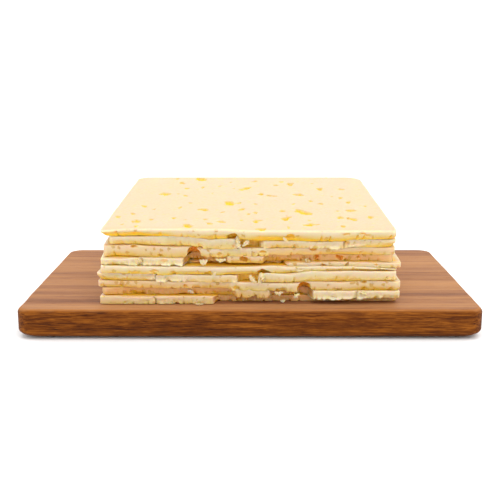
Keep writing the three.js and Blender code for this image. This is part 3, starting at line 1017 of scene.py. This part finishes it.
# Painted shade in eyes that lie deep in a wall, and a painted yellow glow in the others.
DEEP_EYE_SHADE = (0.74, 0.29, 0.035, 1)
EYE_GLOW_GOLD = (0.76, 0.45, 0.06, 1)
# Painted shade inside the tiny eyes of the walls.
SPECK_SHADE_BROWN = (0.45, 0.245, 0.03, 1)
# Painted yellow glow in the eyes of the top face.
EYE_GLOW_LEMON = (0.78, 0.56, 0.03, 1)
# Painted ochre shade in the seams between slices.
CREASE_SHADE_OCHRE = (0.78, 0.455, 0.022, 1)
# Pale torn crumb, and the painted highlights on wall ends and the top slice's lip.
CRUMB_AND_HIGHLIGHT_WHITE = (0.69, 0.605, 0.405, 1)
SPECK_SCALE, SPECK_WANDER = 0.4, (1.3, 1.3, 2.2)
FACE_SPECKS = 0.3


def cheese_material():
    """Cheese: painted light by height in the wall, with streaks and specks, and each mark's colour over it."""
    material, tree, shader = new_material("cheese")
    place = place_mm(tree)
    patches = cloud(tree, place, 0.12, detail=3)
    curd = cloud(tree, place, 0.9, detail=4)
    streaks = place_mm(tree, (0.12, 0.12, 0.7))

    # Painted light by the height in the wall, ochre shade at its lower edge and a highlight on its upper round,
    # moved up and down by the patches. The faces keep one height.
    rise = read_mark(tree, "rise")
    on_face = remap(tree, rise, 0.96, 1)
    on_wall = remap(tree, on_face, 0, 1, 0.55, 0)
    moved = combine(tree, "MULTIPLY", combine(tree, "SUBTRACT", patches, 0.5), on_wall)
    height = combine(tree, "ADD", rise, moved)
    colour = colour_ramp(tree, height, CHEESE_SHADE_AND_HIGHLIGHT_BY_RISE)
    streak = remap(tree, cloud(tree, streaks, 1, detail=4), 0.5, 0.75, 0, 0.5)
    colour = blend(tree, streak, colour, PALE_PINK)
    # Painted tan shade on edges that lie far back.
    colour = blend(tree, read_mark(tree, "deep"), colour, RECESS_SHADE_TAN)

    # Specks: a dot round each of the scattered points, of a size that comes from the point's own colour. They
    # are tiny eyes, with painted brown shade inside them in the walls and the eyes' painted yellow glow on the
    # face.
    soft = {"Vector": place, "Scale": 1.1, "Detail": 2}
    wander = add_node(tree, "ShaderNodeTexNoise", soft).outputs["Color"]
    moves = {0: wander, 1: SPECK_WANDER, 2: place}
    bent = add_node(tree, "ShaderNodeVectorMath", moves, operation="MULTIPLY_ADD").outputs["Vector"]
    dots = add_node(tree, "ShaderNodeTexVoronoi", {"Vector": bent, "Scale": SPECK_SCALE})
    size = remap(tree, dots.outputs["Color"], 0.3, 0.85, 0, 0.45)
    ragged = combine(tree, "MULTIPLY", curd, 0.16)
    room = combine(tree, "SUBTRACT", size, combine(tree, "ADD", dots.outputs["Distance"], ragged))
    strength = remap(tree, on_face, 0, 1, 1, FACE_SPECKS)
    speck = combine(tree, "MULTIPLY", remap(tree, room, -0.06, 0.04), strength)
    speck_colour = blend(tree, on_face, SPECK_SHADE_BROWN, EYE_GLOW_LEMON)
    colour = blend(tree, combine(tree, "MULTIPLY", speck, 0.7), colour, speck_colour)
    # Inside eyes: painted shade where they lie deep, a painted yellow glow elsewhere.
    in_wall = blend(tree, read_mark(tree, "deep"), EYE_GLOW_GOLD, DEEP_EYE_SHADE)
    colour = blend(tree, read_mark(tree, "hollow"), colour, blend(tree, on_face, in_wall, EYE_GLOW_LEMON))
    # Painted ochre shade in the seams.
    colour = blend(tree, read_mark(tree, "crease"), colour, CREASE_SHADE_OCHRE)
    # Pale torn crumb, with painted highlights on the wall ends and the top lip.
    colour = blend(tree, read_mark(tree, "torn"), colour, CRUMB_AND_HIGHLIGHT_WHITE)
    tree.links.new(colour, shader.inputs["Base Color"])

    # Relief: the grain of the curd, with the specks sunk in.
    relief = combine(tree, "SUBTRACT", combine(tree, "MULTIPLY", curd, 0.5), speck)
    bump = add_node(tree, "ShaderNodeBump", {"Height": relief, "Distance": 0.0003, "Strength": 0.6})
    tree.links.new(bump.outputs["Normal"], shader.inputs["Normal"])
    tree.links.new(remap(tree, curd, 0.3, 0.7, 0.38, 0.55), shader.inputs["Roughness"])
    shader.inputs["Specular IOR Level"].default_value = 0.3
    shader.inputs["Subsurface Weight"].default_value = 0.85
    shader.inputs["Subsurface Radius"].default_value = (1.0, 0.55, 0.16)
    shader.inputs["Subsurface Scale"].default_value = 0.0022
    return material


cheese = cheese_material()
for piece in slices + shreds:
    piece.data.materials.append(cheese)
    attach(piece, "root")
for node, piece in zip(SLICE_NODES, slices):
    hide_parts(node)
print("cheese on", len(slices + shreds), "pieces")

# %% [markdown]
# ## Wood
#
# The grain runs along the board, so every pattern is stretched along X. Wide soft bands are the growth rings
# cut lengthwise, narrow ones are fibres, and short dark dashes are pores. On the sides the same wood is painted
# darker and redder as shade, and the upper round gets a warm painted highlight.

# %% Wood material
TOP_WOOD = [
    (0.36, (0.16, 0.058, 0.027)),
    (0.45, (0.28, 0.118, 0.051)),
    (0.52, (0.37, 0.170, 0.070)),
    (0.63, (0.47, 0.232, 0.094)),
]
# A darker, redder copy of the wood, painted as shade on the sides.
SHADED_SIDE_WOOD = [
    (0.36, (0.030, 0.005, 0.0005)),
    (0.49, (0.120, 0.029, 0.001)),
    (0.63, (0.30, 0.092, 0.008)),
]
# A warm painted highlight on the small upper round and the upright corners.
EDGE_HIGHLIGHT = (0.36, 0.14, 0.038, 1)
TOP_PORES, SIDE_PORES = 0.08, 0.1


def weighed(tree, *parts):
    """The sum of values, each multiplied by its weight first."""
    terms = [combine(tree, "MULTIPLY", value, weight) for value, weight in parts]
    total = terms[0]
    for term in terms[1:]:
        total = combine(tree, "ADD", total, term)
    return total


def wood_material():
    """Oiled wood: bands, fibres and pores along X, with painted shade on the sides and a painted highlight on
    the round.
    """
    material, tree, shader = new_material("board_wood")
    bands = cloud(tree, place_mm(tree, (0.004, 0.13, 0.13)), 1, detail=3, distortion=0.3)
    fibres = cloud(tree, place_mm(tree, (0.04, 0.9, 0.9)), 1, detail=7, distortion=0.5, roughness=0.62)
    pores = cloud(tree, place_mm(tree, (0.16, 1.6, 1.6)), 1, detail=2)
    pore = remap(tree, pores, 0.62, 0.74)
    strokes = cloud(tree, place_mm(tree, (0.13, 1.6, 2.0)), 1, detail=9, distortion=0.5, roughness=0.68)
    streaks = cloud(tree, place_mm(tree, (0.018, 0.35, 0.4)), 1, detail=4, distortion=0.8)
    rough_grain = weighed(tree, (strokes, 0.6), (streaks, 0.4))

    mixed = weighed(tree, (bands, 0.42), (fibres, 0.33), (rough_grain, 0.25))
    top = combine(tree, "SUBTRACT", mixed, combine(tree, "MULTIPLY", pore, TOP_PORES))
    top = colour_ramp(tree, top, TOP_WOOD)
    sides = combine(tree, "SUBTRACT", rough_grain, combine(tree, "MULTIPLY", pore, SIDE_PORES))
    sides = colour_ramp(tree, sides, SHADED_SIDE_WOOD)

    # From the side's mark: a painted highlight half way up the round, painted shade on the side below it and
    # the top above it.
    uneven = combine(tree, "MULTIPLY", combine(tree, "SUBTRACT", rough_grain, 0.5), 1.4)
    side = combine(tree, "ADD", read_mark(tree, "side"), uneven)
    colour = blend(tree, remap(tree, side, 0.05, 0.3), top, EDGE_HIGHLIGHT)
    colour = blend(tree, remap(tree, side, 0.35, 0.7), colour, sides)
    tree.links.new(colour, shader.inputs["Base Color"])

    relief = combine(tree, "SUBTRACT", rough_grain, pore)
    bump = add_node(tree, "ShaderNodeBump", {"Height": relief, "Distance": 0.0004, "Strength": 0.4})
    tree.links.new(bump.outputs["Normal"], shader.inputs["Normal"])
    tree.links.new(remap(tree, fibres, 0.3, 0.7, 0.5, 0.7), shader.inputs["Roughness"])
    shader.inputs["Specular IOR Level"].default_value = 0.1
    return material


board.data.materials.append(wood_material())
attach(board, "root")
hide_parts("serving_board")

# %% [markdown]
# ## Stage and light
#
# The object stands on a plain pale floor under an even, bright sky, as in a studio tent. One wide, soft sun
# from above and a little from the right gives the top faces more light than the fronts.

# %% Put up the floor and the light
FLOOR_HALF = 6  # metres
SKY_STRENGTH = 1.4
SUN_STRENGTH = 0.8

floor_mesh = bpy.data.meshes.new("floor")
corners = [(-1, -1), (1, -1), (1, 1), (-1, 1)]
floor_mesh.from_pydata([(FLOOR_HALF * x, FLOOR_HALF * y, 0) for x, y in corners], [], [(0, 1, 2, 3)])
floor = bpy.data.objects.new("floor", floor_mesh)
bpy.context.scene.collection.objects.link(floor)
floor_material, _, floor_shader = new_material("floor")
floor_shader.inputs["Base Color"].default_value = (0.92, 0.92, 0.92, 1)
floor_shader.inputs["Roughness"].default_value = 0.9
floor_mesh.materials.append(floor_material)

world = bpy.data.worlds.new("studio")
world.use_nodes = True
world.node_tree.nodes["Background"].inputs["Color"].default_value = (1, 1, 1, 1)
world.node_tree.nodes["Background"].inputs["Strength"].default_value = SKY_STRENGTH
bpy.context.scene.world = world

sun = bpy.data.lights.new("softbox", "SUN")
sun.energy = SUN_STRENGTH
sun.angle = math.radians(50)
lamp = bpy.data.objects.new("softbox", sun)
lamp.rotation_euler = (math.radians(25), math.radians(10), 0)
bpy.context.scene.collection.objects.link(lamp)
bpy.context.scene.view_settings.view_transform = "Standard"
